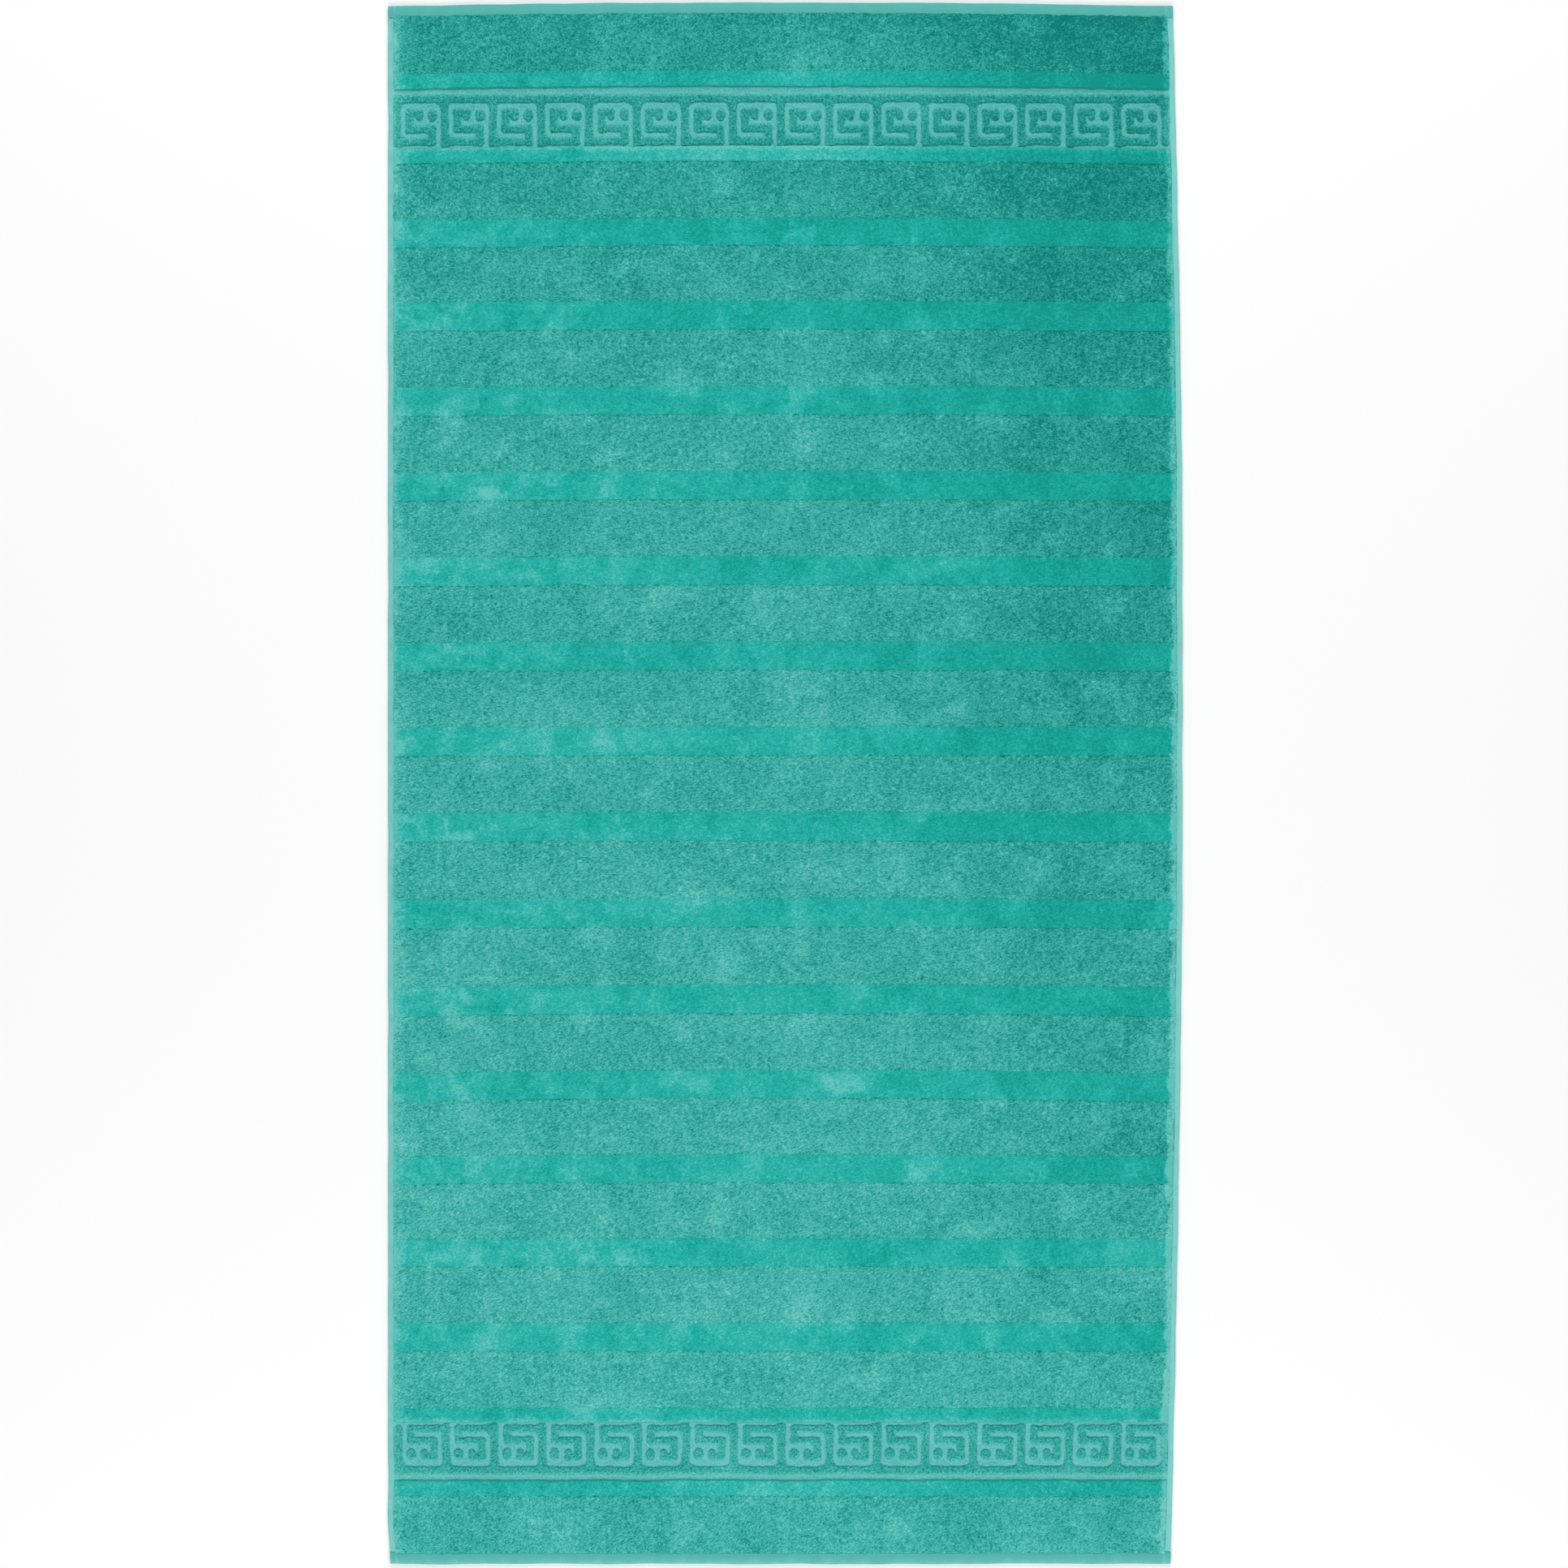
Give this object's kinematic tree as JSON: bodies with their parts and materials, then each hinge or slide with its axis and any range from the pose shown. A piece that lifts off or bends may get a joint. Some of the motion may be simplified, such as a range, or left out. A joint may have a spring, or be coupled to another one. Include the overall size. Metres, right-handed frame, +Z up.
{
  "type": "bath towel",
  "caption": "Flat rectangular terry bath towel with alternating coarse and smooth pile bands, a raised key border near each end and hemmed edges.",
  "frame": {"origin": "centre of the towel's outline, on the surface that its back lies on", "axes": "+X across the towel to its right side, +Y along the towel to its upper end, +Z up out of the face pile"},
  "size_m": [0.7119, 1.4, 0.0055],
  "materials": {
    "coarse_pile": "teal green cotton pile, open and loosely lying, matt",
    "velour": "teal green cotton velour, short dense sheared pile, soft sheen",
    "key_border": "teal green flat weave with a raised cut pile key figure, matt",
    "hem_weave": "light teal fine woven cotton, folded twice, matt",
    "ground_weave": "teal green plain woven cotton ground cloth, matt",
    "back_pile": "teal green uncut cotton terry loops, matt",
    "sewing_thread": "light teal spun sewing thread"
  },
  "bodies": {
    "root": {"ground_cloth": "ground_weave", "back_loop_pile": "back_pile", "coarse_pile_band_01": "coarse_pile", "coarse_pile_band_02": "coarse_pile", "coarse_pile_band_03": "coarse_pile", "coarse_pile_band_04": "coarse_pile", "coarse_pile_band_05": "coarse_pile", "coarse_pile_band_06": "coarse_pile", "coarse_pile_band_07": "coarse_pile", "coarse_pile_band_08": "coarse_pile", "coarse_pile_band_09": "coarse_pile", "coarse_pile_band_10": "coarse_pile", "coarse_pile_band_11": "coarse_pile", "coarse_pile_band_12": "coarse_pile", "coarse_pile_band_13": "coarse_pile", "coarse_pile_band_14": "coarse_pile", "coarse_pile_band_15": "coarse_pile", "coarse_pile_band_16": "coarse_pile", "coarse_pile_band_17": "coarse_pile", "velour_band_01": "velour", "velour_band_02": "velour", "velour_band_03": "velour", "velour_band_04": "velour", "velour_band_05": "velour", "velour_band_06": "velour", "velour_band_07": "velour", "velour_band_08": "velour", "velour_band_09": "velour", "velour_band_10": "velour", "velour_band_11": "velour", "velour_band_12": "velour", "velour_band_13": "velour", "velour_band_14": "velour", "velour_band_15": "velour", "velour_band_16": "velour", "velour_band_17": "velour", "velour_band_18": "velour", "key_border_upper": "key_border", "key_border_lower": "key_border", "side_hem_left": "hem_weave", "side_hem_right": "hem_weave", "end_hem_upper": "hem_weave", "end_hem_lower": "hem_weave", "needle_thread_left": "sewing_thread", "bobbin_thread_left": "sewing_thread", "needle_thread_right": "sewing_thread", "bobbin_thread_right": "sewing_thread", "needle_thread_upper": "sewing_thread", "bobbin_thread_upper": "sewing_thread", "needle_thread_lower": "sewing_thread", "bobbin_thread_lower": "sewing_thread"}
  },
  "joints": []
}
